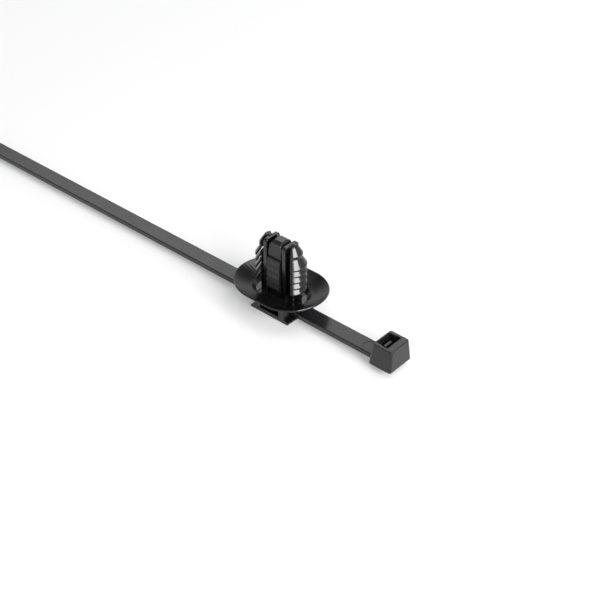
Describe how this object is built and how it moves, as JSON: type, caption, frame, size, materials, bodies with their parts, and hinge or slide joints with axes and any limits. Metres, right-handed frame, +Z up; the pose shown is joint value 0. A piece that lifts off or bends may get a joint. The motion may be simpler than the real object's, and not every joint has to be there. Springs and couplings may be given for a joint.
{
  "type": "fir tree cable tie",
  "caption": "Ratchet cable tie threaded through a push-in fir tree mount with a dished disc, for holding a cable bundle to a panel hole.",
  "frame": {"origin": "centre of the saddle's flat underside, below the fir tree's axis", "axes": "+X along the strap towards the tie's head, +Y across the strap, +Z up along the fir tree"},
  "size_m": [0.202, 0.0188, 0.0208],
  "materials": {
    "tie_nylon": "black nylon, smooth with a slight sheen",
    "mount_nylon": "black nylon, smooth, a little glossier than the strap"
  },
  "bodies": {
    "tie": {"cable_tie": "tie_nylon"},
    "mount": {"fir_tree_mount": "mount_nylon"}
  },
  "joints": [
    {"name": "mount_slide", "type": "slide", "parent": "tie", "child": "mount", "axis": [1, 0, 0], "range_m": [-0.138, 0.0175]}
  ]
}
